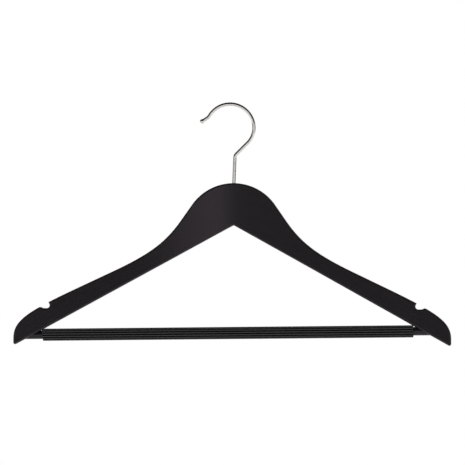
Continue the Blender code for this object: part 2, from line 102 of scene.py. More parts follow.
# %% [markdown]
# ## Nodes from a script
#
# Materials, the studio's walls and the ribs are all trees of nodes. One helper adds a node,
# gives it its settings, and fills its inputs with plain numbers or with other nodes' outputs,
# so that a tree reads from top to bottom like a recipe. Two more make the steps that come back
# most often: a sum, and a value that follows another one.


# %% Helpers that add nodes
def fill_inputs(tree, node, inputs):
    """Fills a node's inputs with values or with links from other nodes."""
    for name, value in inputs.items():
        if isinstance(value, bpy.types.NodeSocket):
            tree.links.new(value, node.inputs[name])
        else:
            node.inputs[name].default_value = value
    return node


def add_node(tree, kind, inputs=None, **settings):
    """Adds a node, gives it its settings and fills its inputs."""
    node = tree.nodes.new(kind)
    for name, value in settings.items():
        setattr(node, name, value)
    return fill_inputs(tree, node, inputs or {})


def arithmetic(tree, operation, first, second=0.0):
    """Output of a math node on two values or sockets."""
    return add_node(tree, "ShaderNodeMath", {0: first, 1: second}, operation=operation).outputs[0]


def ramp(tree, value, start, full, low, high, kind="SMOOTHSTEP"):
    """Value that runs from low to high between two points of another value."""
    return add_node(tree, "ShaderNodeMapRange", {
        "Value": value, "From Min": start, "From Max": full, "To Min": low, "To Max": high,
    }, interpolation_type=kind).outputs["Result"]


# %% [markdown]
# ## The studio
#
# Black lacquer and chrome show their room more than their own colour. A white backdrop stands
# behind the hanger and the room round the camera is dim. A bright panel stands at each side of
# the camera, and past the panels and overhead the room is dark: that draws the light and dark
# lines along the wire. A soft strip of light beside the camera shines back from the left of the
# hump. It belongs to the walls too, because a small lamp would leave the left arm grainy, and it
# is broad and dim, because a thin bright one would leave beads along the wire. The backdrop is
# only a colour that the camera, metal and glass see, so it puts no light on the object. A real
# backdrop would need more lamps, and would pale the black.


# %% Walls of the studio
ROOM_LEFT, ROOM_RIGHT, PANEL_LIGHT, DARK_LIGHT = 0.34, 0.13, 1.7, 0.04
STRIP_AZIMUTH, STRIP_ELEVATION, STRIP_LIGHT = 3.3 * DEGREE, 1 * DEGREE, 1.25
STRIP_SIDE, STRIP_TIP = (2.2, 4), (7, 10)  # where its light starts to fade and is gone, in degrees
BACKDROP_STARTS, BACKDROP_FULL = 0.55, 0.9  # how far back a direction points, from room to backdrop
CEILING_STARTS, CEILING_FULL = 0.09, 0.24  # how far up it points, from walls to dark ceiling

# Where the brightness of the walls changes, sideways, in degrees from straight ahead
LEFT_WALL, ROOM_MIDDLE = (-22, -9), (-5, 9)
PANEL_STARTS, PANEL_ENDS = (26, 30), (44, 56)

world = bpy.data.worlds.new("studio")
world.use_nodes = True
bpy.context.scene.world = world
walls = world.node_tree
walls.nodes.clear()


def wall_ramp(value, angles, low, high):
    """Value that runs smoothly from low to high between two angles of a direction."""
    start, full = [math.sin(angle * DEGREE) for angle in angles]
    return ramp(walls, value, start, full, low, high)


def distance_from(value, angle):
    """How far a direction lies from an angle, sideways or upwards."""
    return arithmetic(walls, "ABSOLUTE", arithmetic(walls, "SUBTRACT", value, math.sin(angle)))


direction = add_node(walls, "ShaderNodeTexCoord").outputs["Generated"]
split = add_node(walls, "ShaderNodeSeparateXYZ", {"Vector": direction}).outputs
behind = ramp(walls, split["Y"], BACKDROP_STARTS, BACKDROP_FULL, 0.0, 1.0)
sideways = arithmetic(walls, "ABSOLUTE", split["X"])
left_wall = wall_ramp(split["X"], LEFT_WALL, ROOM_LEFT / 2, ROOM_LEFT)
room_front = wall_ramp(split["X"], ROOM_MIDDLE, left_wall, ROOM_RIGHT)
with_panels = wall_ramp(sideways, PANEL_STARTS, room_front, PANEL_LIGHT)
past_panels = wall_ramp(sideways, PANEL_ENDS, 1.0, DARK_LIGHT)
ceiling = ramp(walls, split["Z"], CEILING_STARTS, CEILING_FULL, 1.0, DARK_LIGHT)
side_walls = arithmetic(walls, "MULTIPLY", with_panels, past_panels)
room_strength = arithmetic(walls, "MULTIPLY", side_walls, ceiling)
strip_across = wall_ramp(distance_from(split["X"], STRIP_AZIMUTH), STRIP_SIDE, STRIP_LIGHT, 0.0)
strip_upright = wall_ramp(distance_from(split["Z"], STRIP_ELEVATION), STRIP_TIP, 1.0, 0.0)
strip = arithmetic(walls, "MULTIPLY", strip_across, strip_upright)
room_strength = arithmetic(walls, "ADD", room_strength, strip)
light_path = add_node(walls, "ShaderNodeLightPath").outputs
mirrored = arithmetic(walls, "MULTIPLY", light_path["Is Glossy Ray"], behind)
seen = arithmetic(walls, "MAXIMUM", light_path["Is Camera Ray"], light_path["Is Transmission Ray"])
backdrop_share = arithmetic(walls, "MAXIMUM", seen, mirrored)
room = add_node(walls, "ShaderNodeBackground", {"Color": (1, 0.99, 0.98, 1), "Strength": room_strength})
backdrop = add_node(walls, "ShaderNodeBackground", {"Color": (1, 1, 1, 1), "Strength": 1.0})
mixed = add_node(walls, "ShaderNodeMixShader", {
    0: backdrop_share, 1: room.outputs[0], 2: backdrop.outputs[0]})
add_node(walls, "ShaderNodeOutputWorld", {"Surface": mixed.outputs[0]})
print("nodes in the walls:", len(walls.nodes))


# %% Soft boxes
LAMP_DISTANCE = 2


def soft_box(name, azimuth, elevation, size, watts):
    """Area lamp that looks at the hanger from an angle and isn't mirrored in its surfaces."""
    aim = direction_at(azimuth * DEGREE, elevation * DEGREE)
    lamp = bpy.data.lights.new(name, "AREA")
    lamp.shape = "RECTANGLE"
    lamp.size, lamp.size_y = size
    lamp.energy = watts
    box = add_object(name, lamp)
    box.location = VIEW_CENTRE + aim * LAMP_DISTANCE
    box.rotation_euler = aim.to_track_quat("Z", "Y").to_euler()
    box.visible_camera = False
    box.visible_glossy = False


soft_box("left_soft_box", -52, 32, (1, 1.2), 24.5)
soft_box("right_soft_box", 56, 28, (1, 1.2), 22.5)
soft_box("back_soft_box", 160, 40, (1, 1), 16)
print("lamps:", len(bpy.data.lights))

# %% [markdown]
# ## The floor
#
# The floor lies well below the hanging hanger and takes its soft shadow. It fades into the
# white of the backdrop, so that it has no edge, and from below it can be seen through. A curved
# paper sweep would hide the edge too, but it would stand in the way of a view from behind.

# %% Pale floor with a soft edge
FLOOR_HEIGHT = -0.62
FLOOR_RADIUS = 3
FADE_FROM, FADE_TO = 0.35, 1.5
FLOOR_WHITENESS = 0.35  # share of plain white at the middle, where the shadow falls
FLOOR_SIDES = 96


def new_material(name):
    """Material that uses nodes, and its tree."""
    material = bpy.data.materials.new(name)
    material.use_nodes = True
    return material, material.node_tree


floor_mesh = bpy.data.meshes.new("studio_floor")
rim = []
for index in range(FLOOR_SIDES):
    angle = math.tau * index / FLOOR_SIDES
    rim.append((FLOOR_RADIUS * math.cos(angle), FLOOR_RADIUS * math.sin(angle), FLOOR_HEIGHT))
floor_mesh.from_pydata(rim, [], [list(range(FLOOR_SIDES))])
floor = add_object("studio_floor", floor_mesh)

paper, sheet = new_material("pale_floor")
paper_shader = fill_inputs(sheet, sheet.nodes["Principled BSDF"], {
    "Base Color": (0.88, 0.88, 0.87, 1), "Roughness": 0.8})
spot = add_node(sheet, "ShaderNodeTexCoord").outputs["Object"]
flat = add_node(sheet, "ShaderNodeVectorMath", {0: spot, 1: (1, 1, 0)}, operation="MULTIPLY")
reach = add_node(sheet, "ShaderNodeVectorMath", {0: flat.outputs[0]}, operation="LENGTH")
fade = ramp(sheet, reach.outputs["Value"], FADE_FROM, FADE_TO, FLOOR_WHITENESS, 1.0)
rays = add_node(sheet, "ShaderNodeLightPath").outputs
seen = arithmetic(sheet, "MAXIMUM", rays["Is Camera Ray"], rays["Is Transmission Ray"])
seen = arithmetic(sheet, "MAXIMUM", seen, rays["Is Glossy Ray"])
white = add_node(sheet, "ShaderNodeEmission", {"Color": (1, 1, 1, 1), "Strength": 1.0})
blended = add_node(sheet, "ShaderNodeMixShader", {
    0: arithmetic(sheet, "MULTIPLY", seen, fade), 1: paper_shader.outputs[0], 2: white.outputs[0]})
from_below = add_node(sheet, "ShaderNodeNewGeometry").outputs["Backfacing"]
opened = add_node(sheet, "ShaderNodeMixShader", {
    0: from_below, 1: blended.outputs[0], 2: add_node(sheet, "ShaderNodeBsdfTransparent").outputs[0]})
fill_inputs(sheet, sheet.nodes["Material Output"], {"Surface": opened.outputs[0]})
floor_mesh.materials.append(paper)
print(f"floor {-FLOOR_HEIGHT:.2f} m below the rail")

# %% [markdown]
# ## Black lacquer over wood
#
# The arms are beech, stained and sprayed with a satin black lacquer. Close up, the lacquer
# sinks a little into the pores along the grain, lies in faint waves, and is thinner and more
# polished on the edges that hands and shoulders rub. So the tree stretches one noise along the
# grain for the colour, one for the pores, adds a broad one for the waves, and reads an "edge"
# attribute that the mesh carries. A picture of wood would show the same grain at every scale.


# %% Patterns that every finish is made of
def stretched(tree, place, size, turn=(0, 0, 0), centre=(0, 0, 0)):
    """Coordinates in which one unit is this size, turned and moved to a centre."""
    return add_node(tree, "ShaderNodeMapping", {
        "Vector": place, "Location": centre, "Rotation": turn, "Scale": size,
    }, vector_type="TEXTURE").outputs[0]


def noise(tree, place, detail, scale=1.0, roughness=0.5):
    """Cloudy pattern from 0 to 1."""
    return add_node(tree, "ShaderNodeTexNoise", {
        "Vector": place, "Scale": scale, "Detail": detail, "Roughness": roughness}).outputs["Fac"]


def mixed_colour(tree, share, first, second):
    """Colour between two others, each a colour or a socket."""
    return add_node(tree, "ShaderNodeMix", {0: share, 6: first, 7: second}, data_type="RGBA").outputs[2]


def relief(tree, height, strength, distance, **below):
    """Normal that a pattern tilts, over another relief where Normal is given."""
    return add_node(tree, "ShaderNodeBump", {
        "Height": height, "Strength": strength, "Distance": distance, **below}).outputs[0]


# %% Lacquer
def lacquered_wood(name, grain_turn):
    """Satin black lacquer over wood whose grain is turned this much about Y."""
    material, tree = new_material(name)
    place = add_node(tree, "ShaderNodeTexCoord").outputs["Object"]

    def along_grain(length, width, detail):
        grain = stretched(tree, place, (length, width, width), (0, grain_turn, 0))
        return noise(tree, grain, detail, roughness=0.55)

    figure = along_grain(46 * MM, 2.4 * MM, 4.0)
    pores = along_grain(5.5 * MM, 0.32 * MM, 2.0)
    waves = along_grain(26 * MM, 15 * MM, 1.0)
    stain = add_node(tree, "ShaderNodeValToRGB", {"Fac": figure})
    stain.color_ramp.elements[0].position = 0.3
    stain.color_ramp.elements[0].color = (0.0066, 0.0059, 0.0062, 1)
    stain.color_ramp.elements[1].position = 0.7
    stain.color_ramp.elements[1].color = (0.0081, 0.0072, 0.0076, 1)
    edge = add_node(tree, "ShaderNodeAttribute", attribute_name="edge").outputs["Fac"]
    rubbed = arithmetic(tree, "MULTIPLY", edge, figure)
    sunk = ramp(tree, pores, 0.56, 0.72, 0.0, -1.0, "LINEAR")
    satin = ramp(tree, figure, 0.3, 0.7, 0.2, 0.225, "LINEAR")
    broad = relief(tree, waves, 1.0, 0.012 * MM)
    fill_inputs(tree, tree.nodes["Principled BSDF"], {
        "Base Color": mixed_colour(tree, rubbed, stain.outputs["Color"], (0.017, 0.0135, 0.012, 1)),
        "Roughness": arithmetic(tree, "SUBTRACT", satin, arithmetic(tree, "MULTIPLY", edge, 0.03)),
        "Specular IOR Level": 0.38,
        "Specular Tint": (0.98, 0.84, 1.0, 1),
        "Normal": relief(tree, sunk, 0.2, 0.003 * MM, Normal=broad)})
    return material


GRAIN_SLOPE = 27 * DEGREE  # each arm is sawn with the grain along it
left_lacquer = lacquered_wood("left_arm_lacquer", -GRAIN_SLOPE)
right_lacquer = lacquered_wood("right_arm_lacquer", GRAIN_SLOPE)
dowel_lacquer = lacquered_wood("dowel_lacquer", -0.75 * DEGREE)
print("lacquers:", left_lacquer.name, right_lacquer.name, dowel_lacquer.name)

# %% [markdown]
# ## Chrome, zinc and vinyl
#
# The hook is drawn steel wire with bright chrome, which keeps faint lines along the wire. The
# washer and nut are zinc plated and turned, so their lines run round the shank. The sleeve is
# an extruded vinyl tube, duller and a shade greener than the lacquer. Each finish gets its lines
# from noise that is squeezed across the tool's direction.


# %% Metals and vinyl
def plated_metal(name, colour, roughness, spread, uv_lines):
    """Metal whose faint lines follow the wire's UV map, or else run round the shank."""
    material, tree = new_material(name)
    coordinates = add_node(tree, "ShaderNodeTexCoord").outputs
    if uv_lines:
        pattern = noise(tree, stretched(tree, coordinates["UV"], (0.22 * MM, 14 * MM, 1)), 3.0)
    else:
        pattern = add_node(tree, "ShaderNodeTexWave", {
            "Vector": stretched(tree, coordinates["Object"], (MM, MM, MM), centre=SWIVEL),
            "Scale": 1.4, "Distortion": 0.8, "Detail": 2.0},
            wave_type="RINGS", rings_direction="Z").outputs["Fac"]
    tarnish = noise(tree, coordinates["Object"], 3.0, 260.0)
    fill_inputs(tree, tree.nodes["Principled BSDF"], {
        "Metallic": 1.0,
        "Base Color": mixed_colour(tree, tarnish, (*colour, 1), (*[part * 0.9 for part in colour], 1)),
        "Roughness": ramp(tree, pattern, 0.0, 1.0, roughness, roughness + spread, "LINEAR"),
        "Normal": relief(tree, pattern, 0.2, 0.0015 * MM)})
    return material


def extruded_vinyl(name):
    """Soft black vinyl with a fine skin and faint streaks along the tube, and painted shade in its
    grooves.
    """
    material, tree = new_material(name)
    place = add_node(tree, "ShaderNodeTexCoord").outputs["Object"]
    streaks = noise(tree, stretched(tree, place, (30 * MM, 0.7 * MM, 0.7 * MM)), 3.0)
    skin = noise(tree, place, 2.0, 5200.0)
    skin_tint = mixed_colour(tree, streaks, (0.034, 0.036, 0.0347, 1), (0.041, 0.0434, 0.0418, 1))
    # Painted shade: towards each groove floor the colour falls to near black and the specular to nothing,
    # following the crest attribute.
    crest = add_node(tree, "ShaderNodeAttribute", attribute_name="crest").outputs["Fac"]
    clear_of_groove_shade = arithmetic(tree, "POWER", crest, 1.5)
    fill_inputs(tree, tree.nodes["Principled BSDF"], {
        "Specular IOR Level": arithmetic(tree, "MULTIPLY", clear_of_groove_shade, 0.4),
        "Base Color": mixed_colour(tree, clear_of_groove_shade, (0.0015, 0.0016, 0.0015, 1), skin_tint),
        "Roughness": ramp(tree, streaks, 0.0, 1.0, 0.42, 0.56, "LINEAR"),
        "Normal": relief(tree, skin, 0.25, 0.01 * MM)})
    return material


SWIVEL = Vector((4.6, 0, -78.9)) * MM  # top of the hump, on the hook's axis
chrome = plated_metal("chromed_wire", (0.8, 0.78, 0.75), 0.15, 0.04, True)
zinc = plated_metal("zinc_plate", (0.56, 0.56, 0.54), 0.3, 0.12, False)
vinyl = extruded_vinyl("ribbed_vinyl_skin")
print("other finishes:", chrome.name, zinc.name, vinyl.name)

# %% [markdown]
# ## Putting a finished piece in place
#
# Each piece's mesh already holds its place in the room, so its object stays at the origin. The
# helper hands the piece to the body that carries it, names the finish it takes, and hides the
# plain solids that it stands for.


# %% Helpers that finish a piece
SHARP_EDGE = 35 * DEGREE


def stored(mesh, name):
    """Mesh in the file that takes over from a bmesh."""
    data = bpy.data.meshes.new(name)
    mesh.to_mesh(data)
    mesh.free()
    return data


def smooth_mesh(mesh, sharp_angle=SHARP_EDGE):
    """Stored mesh, smooth except where faces meet more sharply than the angle."""
    data = stored(mesh, "piece")
    data.shade_smooth()
    data.set_sharp_from_angle(angle=sharp_angle)
    return data


def finish_piece(name, mesh, material, body, stands_for):
    """Links a mesh as a piece of the hanger that rides on a body and replaces solids."""
    mesh.name = name
    mesh.materials.clear()
    mesh.materials.append(material)
    piece = add_object(name, mesh)
    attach(piece, body)
    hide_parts(*stands_for)
    mesh.calc_loop_triangles()
    print(f"{name}: {len(mesh.loop_triangles)} triangles, stands for {', '.join(stands_for)}")
    return piece


# %% [markdown]
# ## The outline of the wooden body
#
# Seen from the front, each half is a few plain curves: an arc over the hump, a hollow waist, a
# straight arm, a rounded shoulder and a tip, with a strap notch cut in the top. They are drawn
# from tangent lines and radii, as a pattern maker would draw them, so every curve runs smoothly
# into the next. Tracing the photograph would bring its blur and its pixels along.


# %% Plane geometry
def along(angle, distance):
    """Step of the given length in the direction of a slope angle."""
    return Vector((math.cos(angle), math.sin(angle))) * distance


def meeting_point(first, first_angle, second, second_angle):
    """Point where two lines cross, each given by a point and its slope angle."""
    first_slope, second_slope = math.tan(first_angle), math.tan(second_angle)
    first_start = first.y - first_slope * first.x
    second_start = second.y - second_slope * second.x
    across = (second_start - first_start) / (first_slope - second_slope)
    return Vector((across, first_start + first_slope * across))


def blend(start, corner, end, fullness, steps):
    """Curve from start to end that is tangent at both to the lines meeting at corner."""
    return interpolate_bezier(start, start.lerp(corner, fullness), end.lerp(corner, fullness), end,
                              steps + 1)


def arc(centre, radius, start_angle, end_angle, steps):
    """Points on a circle from one angle to another."""
    turn = end_angle - start_angle
    return [centre + along(start_angle + turn * index / steps, radius) for index in range(steps + 1)]


def fillet(before, corner, after, radius, steps, straight):
    """Arc that rounds a corner and leaves this much of the line before it straight."""
    back = (before - corner).normalized()
    onward = (after - corner).normalized()
    half_angle = back.angle(onward) / 2
    reach = min(radius / math.tan(half_angle), (before - corner).length - straight)
    radius = reach * math.tan(half_angle)
    centre = corner + (back + onward).normalized() * (radius / math.sin(half_angle))
    first = corner + back * reach - centre
    last = corner + onward * reach - centre
    start_angle = math.atan2(first.y, first.x)
    return arc(centre, radius, start_angle, start_angle - first.angle_signed(last), steps)


# %% Half the outline, from the top of the hump to the peak of the underside
HALF_WIDTH = 222.7 * MM
HUMP_HEIGHT = 43 * MM
CROWN_RADIUS = 51.5 * MM
FLANK_ANGLE = 55 * DEGREE
UNDERSIDE_ANGLE = 28.9 * DEGREE
ARM_ANGLE = UNDERSIDE_ANGLE - 3.5 * DEGREE
ARM_ROOT_DEPTH = 10.8 * MM
WAIST_UP, WAIST_DOWN, WAIST_FULLNESS = 35 * MM, 54 * MM, 0.77
SHOULDER_RUN, SHOULDER_DROP, SHOULDER_FULLNESS = 70 * MM, Vector((0, 21)) * MM, 0.83
TIP_RADIUS = 1.8 * MM
EDGE_ROUNDING = 1.8 * MM
SMALL_STEP = 0.8 * MM  # straight run that a fillet leaves
CLOSEST_POINTS = 0.12 * MM
CORNER_STEPS, CROWN_STEPS, WAIST_STEPS, SHOULDER_STEPS = 14, 36, 40, 60

# The strap notch, from its lip: in to an inner corner, along a floor, and up a ramp
NOTCH_FROM_END, NOTCH_WIDTH = 35.3 * MM, 10.4 * MM
NOTCH_UNDERCUT = Vector((-3, 6.2)) * MM
NOTCH_FLOOR = Vector((8.4, 0)) * MM
NOTCH_RAMP_ANGLE = -27 * DEGREE
NOTCH_RADIUS, NOTCH_RAMP_RADIUS = 3 * MM, 4 * MM


def point_on(curve, across):
    """Point of a curve at a distance from the middle line, and the curve's slope there."""
    for start, end in zip(curve, curve[1:]):
        if start.x <= across <= end.x:
            step = end - start
            return start.lerp(end, (across - start.x) / step.x), math.atan2(step.y, step.x)
    return curve[-1].copy(), math.pi / 2


def strap_notch(curve):
    """Sharp undercut lip, round inner corner, floor and ramp."""
    lip = point_on(curve, HALF_WIDTH - NOTCH_FROM_END)[0]
    outer, outer_slope = point_on(curve, lip.x + NOTCH_WIDTH)
    inner_corner = lip + NOTCH_UNDERCUT
    ramp_corner = inner_corner + NOTCH_FLOOR
    ramp_top = meeting_point(ramp_corner, NOTCH_RAMP_ANGLE, outer, outer_slope)
    points = [lip]
    points += fillet(lip, inner_corner, ramp_corner, NOTCH_RADIUS, CORNER_STEPS, EDGE_ROUNDING)
    points += fillet(inner_corner, ramp_corner, ramp_top, NOTCH_RAMP_RADIUS, CORNER_STEPS // 2, SMALL_STEP)
    points += fillet(ramp_corner, ramp_top, outer, NOTCH_RADIUS, CORNER_STEPS, SMALL_STEP)
    return points + [outer]


def half_outline():
    """Points (distance from the middle, drop) round one half of the body."""
    arm_corner = Vector((HALF_WIDTH, HUMP_HEIGHT - ARM_ROOT_DEPTH + HALF_WIDTH * math.tan(ARM_ANGLE)))
    shoulder = blend(arm_corner - along(ARM_ANGLE, SHOULDER_RUN), arm_corner,
                     arm_corner + SHOULDER_DROP, SHOULDER_FULLNESS, SHOULDER_STEPS)
    crown = arc(Vector((0, CROWN_RADIUS)), CROWN_RADIUS, -math.pi / 2, FLANK_ANGLE - math.pi / 2,
                CROWN_STEPS)
    waist_corner = meeting_point(crown[-1], FLANK_ANGLE, shoulder[0], ARM_ANGLE)
    waist = blend(waist_corner - along(FLANK_ANGLE, WAIST_UP), waist_corner,
                  waist_corner + along(ARM_ANGLE, WAIST_DOWN), WAIST_FULLNESS, WAIST_STEPS)
    notch = strap_notch(shoulder)
    tip = Vector((HALF_WIDTH, HUMP_HEIGHT + HALF_WIDTH * math.tan(UNDERSIDE_ANGLE)))
    peak = Vector((0, HUMP_HEIGHT))
    points = crown + waist
    points += [point for point in shoulder if point.x < notch[0].x - EDGE_ROUNDING]
    points += notch
    points += [point for point in shoulder if point.x > notch[-1].x + SMALL_STEP]
    points += fillet(shoulder[-1], tip, peak, TIP_RADIUS, CORNER_STEPS, SMALL_STEP)
    kept = [points[0]]
    for point in points[1:] + [peak]:
        if (point - kept[-1]).length > CLOSEST_POINTS:
            kept.append(point)
    return kept


outline_half = half_outline()
print("outline points in one half:", len(outline_half))

# %% [markdown]
# ## The bow of the body
#
# From above, the arms sweep forward by eight degrees, as shoulders do. The photograph gives the
# bend away: the left of the hump mirrors a light beside the camera, and that light stops short at
# the middle, where the two halves meet at a faint angle. So the slope of the bow climbs to three
# degrees over the first sixteen millimetres, and then slowly to eight, where the arms run
# straight. One plain arc would let the light fade across the whole hump.

# %% Middle plane of the body
BODY_THICKNESS = 14 * MM
SWEEP_ANGLE = 8 * DEGREE
SWEEP_SLOPE = math.tan(SWEEP_ANGLE)
MIDDLE_SLOPE = math.tan(3 * DEGREE)
MIDDLE_REACH = 16 * MM
ARC_HALF_LENGTH = 80 * MM
ARC_RADIUS = ARC_HALF_LENGTH / math.sin(SWEEP_ANGLE)
ARC_DEPTH = ARC_RADIUS - math.sqrt(ARC_RADIUS ** 2 - ARC_HALF_LENGTH ** 2)
STRAIGHT_OFFSET = SWEEP_SLOPE * ARC_HALF_LENGTH - ARC_DEPTH  # the straight arms stay on the solids'
BEND_END = (2 * STRAIGHT_OFFSET - SWEEP_SLOPE * MIDDLE_REACH) / (SWEEP_SLOPE - MIDDLE_SLOPE)


def bow(across):
    """How far back the middle plane lies at a distance from the middle."""
    distance = abs(across)
    near = min(distance, MIDDLE_REACH)
    depth = MIDDLE_SLOPE * near ** 2 / (2 * MIDDLE_REACH)
    far = min(max(distance - MIDDLE_REACH, 0), BEND_END - MIDDLE_REACH)
    gain = (SWEEP_SLOPE - MIDDLE_SLOPE) / (BEND_END - MIDDLE_REACH)
    depth += MIDDLE_SLOPE * far + gain * far ** 2 / 2
    return -depth - SWEEP_SLOPE * max(distance - BEND_END, 0)


print(f"bend ends {BEND_END / MM:.1f} mm out; arm ends reach {-bow(HALF_WIDTH) / MM:.1f} mm forward")

# %% [markdown]
# ## Two arms from one blank
#
# A workshop saws the body from a board that is already bent, rounds its edges with a router, and
# glues the halves in a comb joint. The mesh is made in the same order: the outline is pushed
# back to a thickness, its rims are rounded by a bevel, the faces are cut into narrow strips so
# that they can bend, and Booleans cut the joint, the shank's bore and the dowel's seats. A
# subdivision surface would soften the sharp lip of the notch.


# %% The blank
ROUNDING_STEPS = 8
MIDDLE_STRIPS, ARC_STRIPS = 6, 30  # on each side, where the body bends
STRIP_TOLERANCE = 0.01 * MM


def prism(corners, sweep):
    """Closed mesh between a flat face and its copy at the end of a sweep."""
    mesh = bmesh.new()
    face = mesh.faces.new([mesh.verts.new(corner) for corner in corners])
    extruded = bmesh.ops.extrude_face_region(mesh, geom=[face])["geom"]
    copied = [item for item in extruded if isinstance(item, bmesh.types.BMVert)]
    bmesh.ops.translate(mesh, verts=copied, vec=sweep)
    bmesh.ops.recalc_face_normals(mesh, faces=mesh.faces)
    return mesh


def body_blank():
    """Closed mesh of the whole body, with rounded rims and the bow."""
    outline = outline_half + [Vector((-point.x, point.y)) for point in outline_half[-2:0:-1]]
    mesh = prism([(point.x, -BODY_THICKNESS / 2, -point.y) for point in outline], (0, BODY_THICKNESS, 0))
    rims = [edge for edge in mesh.edges if edge.verts[0].co.y == edge.verts[1].co.y]
    bmesh.ops.bevel(mesh, geom=rims, offset=EDGE_ROUNDING, segments=ROUNDING_STEPS, profile=0.5,
                    affect="EDGES", clamp_overlap=False)
    stations = [MIDDLE_REACH * index / MIDDLE_STRIPS for index in range(MIDDLE_STRIPS + 1)]
    stations += [MIDDLE_REACH + (BEND_END - MIDDLE_REACH) * index / ARC_STRIPS
                 for index in range(1, ARC_STRIPS + 1)]
    for station in sorted({side * station for side in (LEFT, RIGHT) for station in stations}):
        everything = mesh.verts[:] + mesh.edges[:] + mesh.faces[:]
        bmesh.ops.bisect_plane(mesh, geom=everything, dist=STRIP_TOLERANCE, plane_co=(station, 0, 0),
                               plane_no=(1, 0, 0))
    for vertex in mesh.verts:
        vertex.co.y += bow(vertex.co.x)
    bmesh.ops.triangulate(mesh, faces=mesh.faces)
    mesh.transform(Matrix.Translation(SWIVEL))
    return stored(mesh, "blank")


blank = body_blank()
print("blank:", len(blank.polygons), "faces")

# %% [markdown]
# ## Turned shapes
#
# The dowel, the bores, the washer, the nut and the brads are all turned on an axis. One function
# skins a stack of rings, solid or with a bore, and a ring's radius may depend on the angle, which
# is all that a hexagon needs.


# %% Rings round an axis
FINE_SIDES = 96  # of the bore, the seats, the dowel and the nut


def quads_between(mesh, lower, upper, closed=True):
    """Faces from one row of vertices to the next; a closed row ends where it began."""
    faces = []
    for index in range(len(lower) if closed else len(lower) - 1):
        following = (index + 1) % len(lower)
        faces.append(mesh.faces.new((lower[index], lower[following], upper[following], upper[index])))
    return faces


def stacked_rings(rings, sides, hollow):
    """Mesh about Z through rings of (radius function, height), listed from the bottom up."""
    mesh = bmesh.new()
    angles = [math.tau * index / sides for index in range(sides)]
    loops = []
    for radius_at, height in rings:
        loops.append([mesh.verts.new((radius_at(angle) * math.cos(angle),
                                      radius_at(angle) * math.sin(angle), height)) for angle in angles])
    pairs = list(zip(loops, loops[1:]))
    if hollow:
        pairs.append((loops[-1], loops[0]))
    else:
        mesh.faces.new(loops[0][::-1])
        mesh.faces.new(loops[-1])
    for lower, upper in pairs:
        quads_between(mesh, lower, upper)
    return mesh


def turned(profile, sides, hollow=False):
    """Mesh turned about Z from (radius, height) pairs, listed from the bottom up."""
    return stacked_rings([(lambda angle, size=radius: size, height) for radius, height in profile],
                         sides, hollow)


# %% [markdown]
# ## Where the trouser bar runs
#
# The bar enters the slanted undersides of both arms, a little askew, with its right end higher.
# Its line and the depth of its seats decide the dowel, the sleeve, the seats and the brads, so
# they are worked out once here.

# %% The bar's line
BAR_SLANT = 0.75 * DEGREE
BAR_RADIUS = 4.35 * MM
BAR_SEAT_DEPTH = 12.5 * MM
BAR_ABOVE_TIPS = 13.4 * MM
BAR_DROP = HUMP_HEIGHT + HALF_WIDTH * math.tan(UNDERSIDE_ANGLE) - BAR_ABOVE_TIPS


def underside_crossing(side, raised):
    """Distance from the middle at which a line above the bar's axis meets the underside."""
    rise = math.tan(UNDERSIDE_ANGLE) + side * math.tan(BAR_SLANT)
    return (BAR_DROP - raised / math.cos(BAR_SLANT) - HUMP_HEIGHT) / rise


def bar_end(side):
    """Place of the dowel's end along its axis."""
    return side * (underside_crossing(side, 0) / math.cos(BAR_SLANT) + BAR_SEAT_DEPTH)


seat_middle = (underside_crossing(LEFT, 0) + underside_crossing(RIGHT, 0) + BAR_SEAT_DEPTH) / 2
BAR_PLACE = (Matrix.Translation(SWIVEL + Vector((0, bow(seat_middle), -BAR_DROP)))
             @ Matrix.Rotation(math.pi / 2 - BAR_SLANT, 4, "Y"))
print(f"dowel length {(bar_end(RIGHT) - bar_end(LEFT)) / MM:.1f} mm")

# %% Where the brads sit
BRAD_FROM_BAR_END = 3.6 * MM
BRAD_RECESS = 0.3 * MM


def brad_place(side):
    """Matrix that sets a brad's head in the back of an arm, pointing at the dowel's axis."""
    on_axis = BAR_PLACE @ Vector((0, 0, bar_end(side) - side * BRAD_FROM_BAR_END))
    outward = Vector((side * math.sin(SWEEP_ANGLE), math.cos(SWEEP_ANGLE), 0))
    back_face = SWIVEL.y + bow(on_axis.x - SWIVEL.x) + BODY_THICKNESS / 2
    cover = (back_face - on_axis.y) * math.cos(SWEEP_ANGLE)
    turn = Matrix.Rotation(-side * SWEEP_ANGLE, 4, "Z") @ Matrix.Rotation(-math.pi / 2, 4, "X")
    return Matrix.Translation(on_axis + outward * (cover - BRAD_RECESS)) @ turn


# %% Cutters for the joint, the bore, the seats and the brads
GLUE_LINE = 0.03 * MM
CUT_OVERRUN = 12 * MM
COMB_FINGERS, COMB_LENGTH = 4, 14 * MM
COMB_BOTTOM, COMB_HEIGHT = -0.2, 0.25  # more than the body's own, in metres
WIRE_RADIUS = 1.8 * MM
BORE_RADIUS, BORE_EASE = WIRE_RADIUS + 0.25 * MM, 0.3 * MM
BORE_TURN = 0.01  # radians, so that no corner of the bore lies in the body's middle plane
COUNTERBORE_RADIUS = 4.8 * MM
COUNTERBORE_CEILING = 13 * MM - HUMP_HEIGHT
SEAT_SPARE, SEAT_RUN_OUT = 0.2 * MM, 40 * MM  # past the dowel's end, and back towards the middle
BRAD_SHAPE = [(0.6, -8), (0.6, -0.6), (1.1, -0.6), (1.1, 0)]  # radius and height in millimetres
BRAD_HOLE_TOP, BRAD_HOLE_SIDES = 4 * MM, 48


